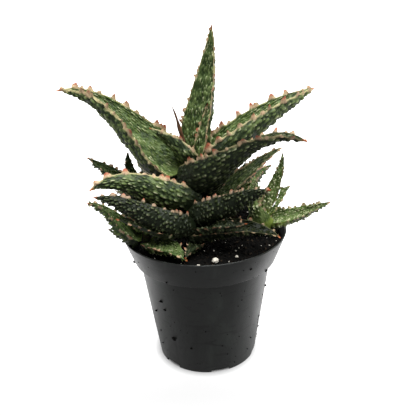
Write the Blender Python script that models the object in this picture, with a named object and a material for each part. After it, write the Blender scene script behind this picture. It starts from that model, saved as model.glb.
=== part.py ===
"""Potted aloe: a small tubercled aloe with its pups, in potting mix, in a black nursery pot.

Metres, +Z up. The origin is at the middle of the pot's underside, on the surface that it stands on.
The viewer of the plant's front stands at -Y, with +X to the right.
"""

import math
from collections import namedtuple

import bmesh
import bpy
import numpy as np
from mathutils import Vector
from mathutils.bvhtree import BVHTree

# Clearance between pieces that touch in the real plant
GAP = 0.0003

# Nursery pot
POT_HEIGHT = 0.089
RIM_RADIUS = 0.0525
BAND_HEIGHT = 0.018
BAND_FOOT_RADIUS = 0.046
BODY_TOP_RADIUS = 0.0425
FOOT_RADIUS = 0.0325
WALL = 0.0012
STEP_HEIGHT = 0.0008
LIP = 0.0006
REST_RADIUS = 0.022
CHANNEL_RISE = 0.003
CHANNEL_SLOPE = 0.0015
POT_SIDES = 36
NOTCHES = 6
FIRST_NOTCH = math.radians(-76)
NOTCH_WIDTH = 0.012
NOTCH_HEIGHT = 0.0026
DRAIN_RADIUS = 0.0024

# Potting mix and what lies on it
SOIL_TOP = 0.084
SOIL_BUMP = 0.0007
SOIL_RINGS = 4
HOLE_DEPTH = 0.012
PERLITE = {"perlite_large": (0.006, -0.041, 0.0025), "perlite_small": (-0.004, -0.044, 0.0014),
           "perlite_side": (0.019, -0.035, 0.0012)}
PERLITE_SEED = 5

# Stems: where each stands, its radius, and the radius and the top of the crown of leaf bases that clasps it
Stem = namedtuple("Stem", "x y radius crown_radius top")
STEMS = {
    "mother": Stem(-0.006, 0.000, 0.0045, 0.0080, 0.131),
    "front": Stem(-0.007, -0.017, 0.0035, 0.0050, 0.107),
    "left": Stem(-0.035, -0.019, 0.0028, 0.0035, 0.097),
    "right": Stem(0.036, 0.001, 0.0028, 0.0035, 0.100),
    "back_left": Stem(-0.035, 0.020, 0.0026, 0.0030, 0.104),
    "back_right": Stem(0.020, 0.026, 0.0026, 0.0030, 0.104),
}
STEM_SIDES = 10
DOME_RINGS = 3

# Leaf section: where its columns of points lie across the blade, from margin to margin (-1 to 1)
WIDE_COLUMNS = (-0.55, 0.0, 0.55)
NARROW_COLUMNS = (-0.4, 0.4)
WIDE_LEAF = 0.0155
WIDE_STATION = 0.0031
NARROW_STATION = 0.0026
BELLY = 0.18
THICKNESS_SHARE = 0.24
TUBERCLE = 0.0005
BARE_SHARE = 0.12
SPINE_STEPS = 200

# Each leaf: the side of the stem that it grows from and its height there; its heading and its rise above
# level (at root, middle and tip) and its roll (at root and tip), in degrees; its length, and its width round
# the channel; the angle that its two margins are folded up by, in degrees; how far a tooth stands out, none
# on a dry leaf; and the base's share of the width.
# Leaves that come first keep their whole shape, and later ones are cut back where they press on them.
LEAF_SIZES = "name side height heading rise roll length width fold tooth base"
Leaf = namedtuple("Leaf", LEAF_SIZES, defaults=(0.9,))
LEAVES = {}
LEAVES["mother"] = [
    Leaf("sweep", 220, 0.121, (-35, -22, -2), (10, 39, -33), (-62, 18), 0.089, 0.028, 85, 0.0022, 0.85),
    Leaf("left_low", 285, 0.109, (205, 198, 210), (8, 29, -28), (35, 85), 0.071, 0.029, 65, 0.0018),
    Leaf("left_long", 175, 0.128, (160, 175, 199), (15, 48, -3), (-33, 0), 0.093, 0.034, 133, 0.0024),
    Leaf("right_high", 0, 0.127, (2, 16, 44), (51, 31, 7), (-8, 0), 0.091, 0.034, 138, 0.0024),
    Leaf("heart", 335, 0.129, (45, 40, 35), (79, 81, 81), (30, 30), 0.041, 0.014, 80, 0.001),
    Leaf("top_blade", 90, 0.131, (35, 42, 49), (83, 74, 85), (-2, 17), 0.085, 0.026, 55, 0.0014, 0.8),
    Leaf("inner_left", 195, 0.131, (190, 182, 174), (64, 46, 20), (30, 40), 0.036, 0.018, 80, 0.0014, 0.7),
    Leaf("dry_left", 140, 0.130, (165, 165, 170), (82, 78, 68), (35, 50), 0.040, 0.005, 60, 0.0),
    Leaf("right_mid", 345, 0.109, (3, 27, 39), (18, 31, 2), (17, 40), 0.063, 0.014, 95, 0.0014),
    Leaf("front_small", 275, 0.113, (-30, -10, 3), (36, 30, 40), (-5, 40), 0.026, 0.013, 98, 0.0008),
    Leaf("back_right", 65, 0.117, (55, 60, 50), (20, 14, -10), (0, 0), 0.066, 0.025, 100, 0.002),
    Leaf("back", 105, 0.121, (95, 82, 78), (25, 20, -5), (0, 0), 0.066, 0.026, 100, 0.002),
    Leaf("back_low", 145, 0.110, (135, 125, 115), (15, 10, -15), (0, 0), 0.060, 0.024, 95, 0.0018),
    Leaf("left_under", 215, 0.104, (210, 200, 194), (22, 18, -4), (-10, -30), 0.054, 0.020, 90, 0.0016),
    Leaf("back_under", 70, 0.106, (75, 62, 50), (20, 18, -10), (0, 0), 0.056, 0.022, 95, 0.0018),
]
LEAVES["front"] = [
    Leaf("left", 270, 0.100, (222, 190, 186), (5, 34, 3), (35, 95), 0.065, 0.023, 65, 0.0016, 0.4),
    Leaf("right", 235, 0.105, (-8, -24, -34), (5, 32, 16), (-38, -65), 0.058, 0.022, 110, 0.0016, 0.5),
    Leaf("low_right", 220, 0.093, (0, -17, -4), (7, 11, -38), (-10, 42), 0.060, 0.020, 70, 0.0014),
    Leaf("low_left", 325, 0.091, (255, 247, 255), (-4, -3, -5), (-8, -5), 0.025, 0.011, 90, 0.0012),
    Leaf("heart", 330, 0.107, (340, 318, 300), (50, 40, 20), (0, 0), 0.016, 0.009, 80, 0.0008),
    Leaf("middle", 300, 0.098, (310, 330, 350), (20, 18, 4), (0, 30), 0.036, 0.014, 90, 0.0012),
    Leaf("second_left", 240, 0.097, (225, 200, 205), (6, 26, 14), (0, -60), 0.048, 0.015, 85, 0.0012),
]
LEAVES["left"] = [
    Leaf("out", 200, 0.091, (180, 170, 205), (17, 50, 11), (-10, 0), 0.041, 0.017, 105, 0.0014),
    Leaf("front", 290, 0.091, (-40, -42, -50), (9, -4, -20), (10, 25), 0.033, 0.019, 85, 0.0014),
    Leaf("rim", 220, 0.092, (177, 161, 155), (-2, 10, 28), (-6, -8), 0.023, 0.009, 100, 0.0008),
    Leaf("heart", 250, 0.097, (235, 245, 255), (70, 60, 50), (0, 0), 0.018, 0.010, 80, 0.0008),
    Leaf("back", 130, 0.094, (135, 140, 150), (40, 35, 20), (0, 0), 0.030, 0.014, 95, 0.0012),
    Leaf("inner", 300, 0.096, (300, 290, 270), (50, 40, 20), (0, 0), 0.016, 0.009, 85, 0.0008),
    Leaf("dry", 330, 0.097, (-20, -24, -40), (50, 20, -35), (0, 0), 0.026, 0.0045, 70, 0.0),
]
LEAVES["right"] = [
    Leaf("left", 255, 0.089, (260, 220, 180), (60, 78, 60), (0, 0), 0.025, 0.020, 120, 0.001),
    Leaf("long", 340, 0.093, (-9, -4, -11), (0, 21, 24), (15, 35), 0.043, 0.015, 95, 0.0014),
    Leaf("up", 45, 0.099, (35, 33, 31), (49, 65, 88), (20, 33), 0.040, 0.011, 88, 0.001),
    Leaf("small", 5, 0.099, (9, 14, 20), (51, 41, 24), (45, 55), 0.023, 0.013, 87, 0.0008),
    Leaf("front", 300, 0.098, (300, 310, 330), (72, 78, 72), (0, 0), 0.020, 0.011, 90, 0.001),
    Leaf("back", 110, 0.095, (100, 90, 80), (40, 35, 15), (0, 0), 0.032, 0.013, 95, 0.0012),
]
LEAVES["back_left"] = [
    Leaf("out", 195, 0.101, (195, 184, 183), (42, 44, 30), (-7, -40), 0.049, 0.017, 95, 0.0012),
    Leaf("up", 165, 0.101, (167, 160, 164), (48, 71, 103), (-3, -60), 0.036, 0.014, 80, 0.0008),
    Leaf("back", 100, 0.100, (105, 100, 92), (35, 34, 12), (0, 0), 0.036, 0.014, 95, 0.0012),
    Leaf("low", 150, 0.096, (150, 146, 140), (14, 14, -6), (0, 0), 0.030, 0.012, 90, 0.001),
    Leaf("right", 20, 0.102, (20, 30, 40), (55, 50, 20), (0, 0), 0.028, 0.012, 90, 0.001),
]
LEAVES["back_right"] = [
    Leaf("small", 340, 0.101, (-16, -11, 0), (35, 31, 40), (17, 30), 0.025, 0.012, 85, 0.001),
    Leaf("up", 300, 0.103, (310, 325, 350), (70, 72, 60), (0, 0), 0.026, 0.010, 90, 0.0008),
    Leaf("front", 280, 0.102, (300, 318, 335), (50, 50, 40), (0, 20), 0.024, 0.010, 90, 0.001),
    Leaf("out", 30, 0.099, (28, 32, 40), (35, 32, 10), (0, 0), 0.034, 0.014, 95, 0.0012),
    Leaf("back", 100, 0.098, (95, 90, 84), (30, 26, 4), (0, 0), 0.032, 0.013, 95, 0.0012),
]


def clear_scene():
    for thing in list(bpy.data.objects):
        bpy.data.objects.remove(thing)


def material(name, colour, roughness):
    made = bpy.data.materials.new(name)
    made.use_nodes = True
    shader = made.node_tree.nodes["Principled BSDF"]
    shader.inputs["Base Color"].default_value = (*colour, 1.0)
    shader.inputs["Roughness"].default_value = roughness
    shader.inputs["Metallic"].default_value = 0.0
    return made


def new_object(name, points, faces, finish):
    mesh = bpy.data.meshes.new(name)
    mesh.from_pydata(np.array(points).tolist(), [], np.array(faces).tolist())
    mesh.materials.append(finish)
    made = bpy.data.objects.new(name, mesh)
    bpy.context.scene.collection.objects.link(made)
    return made


def helper(thing):
    """Keep a cutter out of the render and draw it as lines."""
    thing.hide_render = True
    thing.display_type = "WIRE"
    return thing


def lathe(profile, sides):
    """Points and triangles of a closed profile of (radius, height) turned about Z.

    The profile runs from the lower middle point up the outside, and back to the upper middle point."""
    turned = profile[1:-1]
    angles = np.arange(sides) * 2 * math.pi / sides
    ring = np.stack([np.cos(angles), np.sin(angles)], axis=1)
    points = [(0, 0, profile[0][1])]
    for radius, height in turned:
        points += [(radius * x, radius * y, height) for x, y in ring]
    points.append((0, 0, profile[-1][1]))
    faces = []
    for i in range(sides):
        j = (i + 1) % sides
        faces.append((0, 1 + j, 1 + i))
        for row in range(len(turned) - 1):
            low, high = 1 + row * sides, 1 + (row + 1) * sides
            faces += [(low + i, low + j, high + j), (low + i, high + j, high + i)]
        top = 1 + (len(turned) - 1) * sides
        faces.append((top + i, top + j, len(points) - 1))
    return points, faces


def cut(target, cutters):
    """Take each cutter's solid out of the target, and keep the mesh that is left."""
    for cutter in cutters:
        modifier = target.modifiers.new("cut", "BOOLEAN")
        modifier.operation = "DIFFERENCE"
        modifier.use_self = True
        modifier.object = cutter
    bpy.context.view_layer.update()
    evaluated = target.evaluated_get(bpy.context.evaluated_depsgraph_get())
    mesh = bpy.data.meshes.new_from_object(evaluated)
    target.modifiers.clear()
    target.data = mesh


def cut_away(target, cutters):
    cut(target, cutters)
    for cutter in cutters:
        bpy.data.objects.remove(cutter)


def keep_longest(thing):
    """Drop the loose scraps that a cut leaves, and keep the longest body."""
    shape = bmesh.new()
    shape.from_mesh(thing.data)
    unseen = set(shape.verts)
    bodies = []
    while unseen:
        body, edge = set(), [unseen.pop()]
        while edge:
            vertex = edge.pop()
            body.add(vertex)
            near = {e.other_vert(vertex) for e in vertex.link_edges} & unseen
            unseen -= near
            edge += near
        bodies.append(body)
    longest = max(bodies, key=length_of)
    for body in bodies:
        if body is not longest:
            bmesh.ops.delete(shape, geom=list(body), context="VERTS")
    shape.to_mesh(thing.data)
    shape.free()


def length_of(body):
    points = np.array([vertex.co for vertex in body])
    return np.linalg.norm(points.max(axis=0) - points.min(axis=0))


def pot_profile():
    """The pot's wall: a flat rest, a raised drain channel, a tapering body, a step and a wide rim band."""
    body_top = POT_HEIGHT - BAND_HEIGHT
    slope = (BODY_TOP_RADIUS - FOOT_RADIUS) / body_top
    foot_inner = FOOT_RADIUS - WALL
    floor_top = CHANNEL_RISE + WALL
    return [
        (0, 0),
        (REST_RADIUS, 0),
        (REST_RADIUS + CHANNEL_SLOPE, CHANNEL_RISE),
        (foot_inner, CHANNEL_RISE),
        (foot_inner, 0),
        (FOOT_RADIUS, 0),
        (BODY_TOP_RADIUS, body_top - STEP_HEIGHT),
        (BAND_FOOT_RADIUS, body_top),
        (RIM_RADIUS, POT_HEIGHT - LIP),
        (RIM_RADIUS - LIP, POT_HEIGHT),
        (RIM_RADIUS - WALL, POT_HEIGHT),
        (BAND_FOOT_RADIUS - WALL, body_top + WALL),
        (BODY_TOP_RADIUS - WALL, body_top),
        (FOOT_RADIUS - WALL + slope * floor_top, floor_top),
        (REST_RADIUS + CHANNEL_SLOPE - WALL / 2, floor_top),
        (REST_RADIUS - WALL / 2, WALL),
        (0, WALL),
    ]


def make_pot(plastic):
    points, faces = lathe(pot_profile(), POT_SIDES)
    pot = new_object("nursery_pot", points, faces, plastic)
    cutters = []
    for i in range(NOTCHES):
        turn = FIRST_NOTCH + i * 2 * math.pi / NOTCHES
        cutters += [notch(turn), drain(turn)]
    cut_away(pot, cutters)


def notch(turn):
    """A block across the foot of the wall: water leaves the drain channel through it."""
    shape = bmesh.new()
    bmesh.ops.create_cube(shape, size=1)
    reach = 4 * WALL
    for vertex in shape.verts:
        vertex.co.x = FOOT_RADIUS - reach / 4 + vertex.co.x * reach
        vertex.co.y *= NOTCH_WIDTH
        vertex.co.z = (vertex.co.z + 0.5) * 2 * NOTCH_HEIGHT - NOTCH_HEIGHT
    return placed_cutter("notch", shape, turn)


def drain(turn):
    """A round hole through the floor of the drain channel."""
    shape = bmesh.new()
    size = {"radius1": DRAIN_RADIUS, "radius2": DRAIN_RADIUS, "depth": 6 * WALL}
    bmesh.ops.create_cone(shape, cap_ends=True, segments=8, **size)
    middle = (REST_RADIUS + CHANNEL_SLOPE + FOOT_RADIUS - WALL) / 2
    for vertex in shape.verts:
        vertex.co.x += middle
        vertex.co.z += CHANNEL_RISE + WALL / 2
    return placed_cutter("drain", shape, turn)


def placed_cutter(name, shape, turn):
    for vertex in shape.verts:
        x, y, z = vertex.co
        vertex.co = (x * math.cos(turn) - y * math.sin(turn), x * math.sin(turn) + y * math.cos(turn), z)
    mesh = bpy.data.meshes.new(name)
    shape.to_mesh(mesh)
    shape.free()
    made = bpy.data.objects.new(name, mesh)
    bpy.context.scene.collection.objects.link(made)
    return helper(made)


def soil_height(x, y):
    """The soil's surface: level, with low waves."""
    wave = math.sin(310 * x + 1.0) * math.cos(270 * y) + 0.6 * math.sin(520 * y + 330 * x)
    return SOIL_TOP + SOIL_BUMP * wave


def make_soil(mix):
    """The mix fills the pot's inside, with a small gap to the wall, up to its uneven surface."""
    body_top = POT_HEIGHT - BAND_HEIGHT
    floor_top = CHANNEL_RISE + WALL + GAP
    slope = (BODY_TOP_RADIUS - FOOT_RADIUS) / body_top
    band_slope = (RIM_RADIUS - BAND_FOOT_RADIUS) / BAND_HEIGHT
    inner = BAND_FOOT_RADIUS - WALL - 2 * GAP
    edge = inner + band_slope * (SOIL_TOP - body_top - WALL)
    profile = [
        (0, floor_top),
        (FOOT_RADIUS - WALL - GAP + slope * floor_top, floor_top),
        (BODY_TOP_RADIUS - WALL - GAP, body_top + GAP),
        (inner, body_top + WALL + GAP),
        (edge, SOIL_TOP),
    ]
    profile += [(edge * ring / SOIL_RINGS, SOIL_TOP) for ring in range(SOIL_RINGS - 1, 0, -1)]
    profile.append((0, SOIL_TOP))
    points, faces = lathe(profile, POT_SIDES)
    points = [(x, y, soil_height(x, y) if z == SOIL_TOP else z) for x, y, z in points]
    soil = new_object("soil", points, faces, mix)
    holes = []
    for name, stem in STEMS.items():
        rows = [(0, SOIL_TOP - HOLE_DEPTH), (stem.radius + GAP, SOIL_TOP - HOLE_DEPTH),
                (stem.radius + GAP, SOIL_TOP + HOLE_DEPTH), (0, SOIL_TOP + HOLE_DEPTH)]
        points, faces = lathe(rows, STEM_SIDES)
        points = [(x + stem.x, y + stem.y, z) for x, y, z in points]
        holes.append(helper(new_object(name + "_hole", points, faces, mix)))
    cut_away(soil, holes)
    return soil


def tree_of(thing):
    points = [v.co for v in thing.data.vertices]
    return BVHTree.FromPolygons(points, [p.vertices for p in thing.data.polygons])


def make_perlite(stone, soil):
    """Grains of perlite: rough balls let down onto the soil until their lowest point is just clear of it."""
    rng = np.random.default_rng(PERLITE_SEED)
    surface = tree_of(soil)
    down = Vector((0, 0, -1))
    for name, (x, y, radius) in PERLITE.items():
        shape = bmesh.new()
        bmesh.ops.create_icosphere(shape, subdivisions=1, radius=radius)
        for vertex in shape.verts:
            vertex.co *= rng.uniform(0.85, 1.1)
            vertex.co.z *= 0.75
            vertex.co += Vector((x, y, 2 * POT_HEIGHT))
        drop = min(surface.ray_cast(vertex.co, down)[3] for vertex in shape.verts) - GAP
        for vertex in shape.verts:
            vertex.co.z -= drop
        mesh = bpy.data.meshes.new(name)
        shape.to_mesh(mesh)
        shape.free()
        mesh.materials.append(stone)
        bpy.context.scene.collection.objects.link(bpy.data.objects.new(name, mesh))


def make_stem(name, stem, finish, clear=0.0):
    """A round stem from the bottom of its hole to its dome, fatter all round by clear."""
    radius = stem.radius + clear
    bottom = SOIL_TOP - HOLE_DEPTH + GAP - clear
    profile = [(0, bottom), (radius, bottom)]
    for ring in range(DOME_RINGS):
        turn = ring / DOME_RINGS * math.pi / 2
        height = stem.top - stem.radius + radius * math.sin(turn)
        profile.append((radius * math.cos(turn), height))
    profile.append((0, stem.top + clear))
    points, faces = lathe(profile, STEM_SIDES)
    points = [(x + stem.x, y + stem.y, z) for x, y, z in points]
    return new_object(name, points, faces, finish)


def crown_radius(stem, height):
    """How far from the stem's axis a leaf starts: on a cylinder under a dome as high as its radius."""
    up = min(max((height - (stem.top - stem.crown_radius)) / stem.crown_radius, 0), 1)
    return stem.crown_radius * math.sqrt(1 - up * up)


def through(values, s):
    """The quadratic that passes through three values at root, middle and tip."""
    root, middle, tip = values
    return root * (1 - s) * (1 - 2 * s) + 4 * middle * s * (1 - s) + tip * s * (2 * s - 1)


def leaf_spine(stem, leaf):
    """The leaf's midline and, along it, its direction, its upper normal and its right side.

    The direction's heading and rise are quadratics of the share s of the length, and the midline is its
    integral from the crown's surface. Roll turns the normal and the side about the direction."""
    s = np.linspace(0, 1, SPINE_STEPS + 1)
    heading = np.radians(through(leaf.heading, s))
    rise = np.radians(through(leaf.rise, s))
    roll = np.radians(leaf.roll[0] + (leaf.roll[1] - leaf.roll[0]) * s)[:, None]
    ahead = np.stack([np.cos(heading), np.sin(heading), np.zeros_like(s)], axis=1)
    upright = np.array([0, 0, 1])
    along = ahead * np.cos(rise)[:, None] + upright * np.sin(rise)[:, None]
    level_normal = upright * np.cos(rise)[:, None] - ahead * np.sin(rise)[:, None]
    level_side = np.cross(along, level_normal)
    normal = level_normal * np.cos(roll) + level_side * np.sin(roll)
    side = level_side * np.cos(roll) - level_normal * np.sin(roll)
    reach = crown_radius(stem, leaf.height) + GAP
    turn = math.radians(leaf.side)
    root = np.array([stem.x + reach * math.cos(turn), stem.y + reach * math.sin(turn), leaf.height])
    steps = (along[1:] + along[:-1]) / 2 * leaf.length / SPINE_STEPS
    place = np.vstack([root, root + np.cumsum(steps, axis=0)])
    return s, place, along, normal, side


def sampled(curve, fine, s):
    """The points of a curve, known at the fine shares, at the shares s."""
    return np.stack([np.interp(s, fine, axis) for axis in curve.T], axis=1)


def half_width(leaf, s):
    """Half of the leaf's width: it swells from its base to its belly, then tapers to its tip."""
    swell = leaf.base + (1 - leaf.base) * np.sin(np.clip(s / BELLY, 0, 1) * math.pi / 2)
    beyond = np.clip((s - BELLY) / (1 - BELLY), 0, 1)
    return leaf.width / 2 * swell * (1 - beyond**1.15) ** 0.95


def leaf_mesh(stem, leaf, clear=0.0):
    """Points and triangles of a leaf.

    Across, its upper face is an arc that turns by the fold angle from margin to margin, and its lower face
    lies outside that arc by a thickness that falls to nothing at the margins. At every other station the
    margins stand out in a tooth, and points of both faces rise by turns into tubercles. With clear the result
    is the smooth envelope of teeth and tubercles, larger than them all round by that much."""
    wide = leaf.width >= WIDE_LEAF
    columns = np.array(WIDE_COLUMNS if wide else NARROW_COLUMNS)
    station = WIDE_STATION if wide else NARROW_STATION
    stations = 2 * round(leaf.length / station / 2)
    fine, *curves = leaf_spine(stem, leaf)
    s = np.arange(stations) / stations
    place, along, normal, side = (sampled(curve, fine, s) for curve in curves)
    place[0] -= along[0] * clear
    fold = math.radians(leaf.fold)
    radius = 2 * half_width(leaf, s) / fold
    thickness = THICKNESS_SHARE * leaf.width * (1.05 - s**2)
    odd = np.arange(stations) % 2
    covered = (s > BARE_SHARE) * (leaf.tooth > 0)

    def upper(v):
        turn = v * fold / 2
        return (place + side * (radius * math.sin(turn))[:, None]
                + normal * (radius * (1 - math.cos(turn)))[:, None])

    def outward(v):
        turn = v * fold / 2
        return side * math.sin(turn) - normal * math.cos(turn)

    def margin(v):
        turn = fold / 2
        away = side * (v * math.cos(turn)) + normal * math.sin(turn) + along * 0.3
        tooth = leaf.tooth * covered * (1 - 0.4 * s)
        return upper(v) + away * (tooth if clear else tooth * odd)[:, None] + away * clear

    def raised(i):
        """How far the points of column i stand out of the face."""
        return (TUBERCLE * covered * (1 if clear else (odd + i) % 2) + clear)[:, None]

    ring = [margin(-1)]
    for i, v in enumerate(columns):
        depth = (thickness * (1 - abs(v) ** 2.4))[:, None] + raised(i)
        ring.append(upper(v) + outward(v) * depth)
    ring.append(margin(1))
    for i, v in reversed(list(enumerate(columns))):
        ring.append(upper(v) - outward(v) * raised(i))
    around = len(ring)
    points = np.stack(ring, axis=1).reshape(-1, 3)
    faces = []
    for k in range(stations - 1):
        for i in range(around):
            a, b = k * around + i, k * around + (i + 1) % around
            faces += [(a, a + around, b + around), (a, b + around, b)]
    last, tip = (stations - 1) * around, len(points)
    faces += [(last + i, tip, last + (i + 1) % around) for i in range(around)]
    half = len(columns)
    for i in range(half + 1):
        low, low_next = i, i + 1
        high, high_next = (around - i) % around, around - i - 1
        if i > 0:
            faces.append((low, low_next, high))
        if i < half:
            faces.append((high, low_next, high_next))
    return np.vstack([points, curves[0][-1] + along[-1] * clear]), faces


def make_leaves(flesh, dry, envelopes):
    """Make the leaves in order, and cut each one back from the envelopes of stems and earlier leaves."""
    for plant, leaves in LEAVES.items():
        stem = STEMS[plant]
        for leaf in leaves:
            finish = flesh if leaf.tooth else dry
            thing = new_object(f"{plant}_{leaf.name}", *leaf_mesh(stem, leaf), finish)
            leaf_tree = tree_of(thing)
            pressed = [envelope for envelope in envelopes if tree_of(envelope).overlap(leaf_tree)]
            if pressed:
                cut(thing, pressed)
                keep_longest(thing)
            envelopes.append(helper(new_object("envelope", *leaf_mesh(stem, leaf, 2 * GAP), finish)))
    for envelope in envelopes:
        bpy.data.objects.remove(envelope)


def main():
    clear_scene()
    plastic = material("black_polypropylene", (0.016, 0.017, 0.018), 0.45)
    mix = material("potting_mix", (0.012, 0.009, 0.007), 0.95)
    stone = material("perlite", (0.75, 0.73, 0.68), 0.9)
    flesh = material("leaf_skin", (0.10, 0.17, 0.07), 0.5)
    dry = material("dry_leaf", (0.35, 0.17, 0.08), 0.8)
    bark = material("stem_skin", (0.16, 0.19, 0.08), 0.7)
    make_pot(plastic)
    soil = make_soil(mix)
    make_perlite(stone, soil)
    envelopes = []
    for name, stem in STEMS.items():
        make_stem(name + "_stem", stem, bark)
        envelopes.append(helper(make_stem("envelope", stem, bark, GAP)))
    make_leaves(flesh, dry, envelopes)


main()
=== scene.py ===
"""The potted aloe's looks: warty, toothed leaves, a satin black pot, dark potting mix and white perlite.

Metres, +Z up, and the viewer of the plant's front stands at -Y. The pot, the soil and each leaf, stem and
grain of the frame give way to a finer surface of the same form, worked out on a grid of two parameters.
"""

import math
from collections import namedtuple

import bmesh
import bpy
import numpy as np
from mathutils import Matrix, Vector
from mathutils.bvhtree import BVHTree


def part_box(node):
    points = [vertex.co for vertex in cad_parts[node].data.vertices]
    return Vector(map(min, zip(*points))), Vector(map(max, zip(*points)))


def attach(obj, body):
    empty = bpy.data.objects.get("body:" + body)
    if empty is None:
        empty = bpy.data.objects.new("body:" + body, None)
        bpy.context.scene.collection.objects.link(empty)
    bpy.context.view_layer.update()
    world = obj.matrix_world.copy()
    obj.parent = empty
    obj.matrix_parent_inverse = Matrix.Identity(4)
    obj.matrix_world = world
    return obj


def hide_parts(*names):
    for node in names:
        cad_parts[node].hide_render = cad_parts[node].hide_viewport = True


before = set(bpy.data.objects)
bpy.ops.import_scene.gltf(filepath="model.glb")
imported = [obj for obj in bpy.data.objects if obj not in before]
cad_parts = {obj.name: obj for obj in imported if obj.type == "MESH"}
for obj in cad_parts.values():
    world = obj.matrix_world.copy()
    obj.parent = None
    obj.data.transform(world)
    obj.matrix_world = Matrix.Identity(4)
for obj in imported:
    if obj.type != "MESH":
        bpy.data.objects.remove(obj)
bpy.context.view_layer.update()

MM = 0.001
# Neighbouring solids of the frame stand this far apart
GAP = 0.3 * MM

# Nursery pot. Its profile starts and ends at the fan's radius, and a fan of triangles closes the middle.
POT_HEIGHT = 0.089
RIM_RADIUS = 0.0525
BAND_HEIGHT = 0.018
BAND_FOOT_RADIUS = 0.046
BODY_TOP_RADIUS = 0.0425
FOOT_RADIUS = 0.0325
WALL = 0.0012
STEP_HEIGHT = 0.0008
REST_RADIUS = 0.022
CHANNEL_RISE = 0.003
CHANNEL_SLOPE = 0.0015
NOTCHES = 6
FIRST_NOTCH = math.radians(-76)
NOTCH_WIDTH = 0.012
NOTCH_HEIGHT = 0.0026
DRAIN_RADIUS = 0.0024
FAN_RADIUS = 0.001
POT_SIDES = 192
CORNER = 0.00045
CORNER_STEPS = 4

# Potting mix, whose surface waves by about the soil's bump
SOIL_TOP = 0.084
SOIL_BUMP = 0.0007
SOIL_RINGS = 104
SOIL_SECTORS = 360
HOLE_DEPTH = 0.012
SOIL_SEED = 11
# Fields of crumbs, the largest first: their spacing, and how far they rise from a bed below the plain surface
CRUMB_BED = 0.55 * MM
CRUMB_FIELDS = ((3.4 * MM, 0.9 * MM), (1.9 * MM, 0.7 * MM), (1.0 * MM, 0.4 * MM))

# Loose bits: crumbs, of which the first are drawn out to fibres, perlite specks, and mix stuck to the pot
BITS_SEED = 23
CRUMBS = 1300
FIBRES = 120
FIBRE_SHAPE = (3.2, 0.55, 0.55)
PERLITE_SPECKS = 130
WALL_SPECKS = 130
# Turn in degrees, height and length in millimetres of the larger specks on the wall
LARGE_SPECKS = np.array([
    (-57, 80, 1.8), (-36, 71, 2.0), (-165, 72, 2.4), (-120, 72, 1.2), (-15, 51, 1.6), (-20, 46, 1.3),
    (-22, 30, 1.4), (-12, 18, 1.5), (-9, 10, 1.4), (-36, 18, 1.2), (-40, 10, 1.2), (-147, 41, 1.6),
    (-135, 52, 2.0), (-132, 46, 1.8), (-126, 25, 2.8), (-147, 25, 1.2), (-149, 14, 1.6), (-107, 20, 1.8),
])

# The perlite grains' grids of points, and how far out their poles stand
GRAIN_SEED = 40
GRAIN_RINGS = 24
GRAIN_SIDES = 40
GRAIN_POLE = 0.85

# Bumps: how many are drawn across and along before a field repeats, and a bump's least size and spread
DRAWN_BUMPS = (61, 67)
LEAST_BUMP = 0.45
BUMP_SPREAD = 0.7

# Stems: where each stands, its radius, and the radius and the top of the crown of leaf bases that clasps it
Stem = namedtuple("Stem", "x y radius crown_radius top")
STEMS = {
    "mother": Stem(-0.006, 0.000, 0.0045, 0.0080, 0.131),
    "front": Stem(-0.007, -0.017, 0.0035, 0.0050, 0.107),
    "left": Stem(-0.035, -0.019, 0.0028, 0.0035, 0.097),
    "right": Stem(0.036, 0.001, 0.0028, 0.0035, 0.100),
    "back_left": Stem(-0.035, 0.020, 0.0026, 0.0030, 0.104),
    "back_right": Stem(0.020, 0.026, 0.0026, 0.0030, 0.104),
}

# The stem's ring-shaped leaf scars
SCAR_SPACING = 2 * MM
SCAR_DEPTH = 0.35 * MM

# Leaf blade, in shares of its length: the grid's last ring, where the blade is widest, where its teeth may
# start, and how far its root draws in. Its thickness is a share of its width. It ripples by up to the wave,
# and the grid's points crowd towards its margins.
LAST_STATION = 0.996
BELLY = 0.18
BARE_SHARE = 0.12
ROOT_SHARE = 0.04
THICKNESS_SHARE = 0.24
WAVE = 0.35 * MM
MARGIN_CROWDING = 1.0
SPINE_STEPS = 200

# The smooth envelope round a leaf, which later leaves are cut back from: the distance between its rings, its
# columns, and the relief that it makes room for
ENVELOPE_STATION = 2.5 * MM
ENVELOPE_COLUMNS = 10
MOST_RISE = 1.0 * MM

# Margin teeth: none stands beyond the last share, and the ranges scale their height, foot and spacing
LAST_TOOTH = 0.985
TOOTH_HEIGHTS = (0.35, 1.6)
TOOTH_FEET = (0.7, 1.5)
TOOTH_SPACINGS = (0.3, 1.75)

# Tubercles: distance along and across between them, their own length and width, how far they stand out, on
# the outer face and in the channel, and the share of their paleness that shows in the channel. Station and
# column are the distances between the grid's points, along the leaf and across it, and tooth is how much
# larger teeth are than the leaf's row says; rim is the width of the horny rim, and rim_pale how strong its
# colour is. Leaves narrower than the small leaf have lower tubercles, and a pup's wider ones smaller teeth.
SKIN_SIZES = "pitch row length width rise channel_rise channel_pale station column tooth rim rim_pale"
Skin = namedtuple("Skin", SKIN_SIZES)
MOTHER_SKIN = Skin(
    pitch=3.5 * MM, row=1.7 * MM, length=3.9 * MM, width=1.55 * MM, rise=1.1 * MM, channel_rise=1.2 * MM,
    channel_pale=1.0, station=0.5 * MM, column=0.45 * MM, tooth=1.25, rim=1.1 * MM, rim_pale=1.0)
PUP_SKIN = Skin(
    pitch=2.3 * MM, row=1.7 * MM, length=2.4 * MM, width=1.6 * MM, rise=2.0 * MM, channel_rise=1.8 * MM,
    channel_pale=0.9, station=0.42 * MM, column=0.38 * MM, tooth=1.3, rim=0.7 * MM, rim_pale=0.3)
SMALL_LEAF = 16 * MM
# Leaves whose rims show broader and free of painted shade
PALE_RIMS = ("front_low_right", "mother_left_long")
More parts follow.
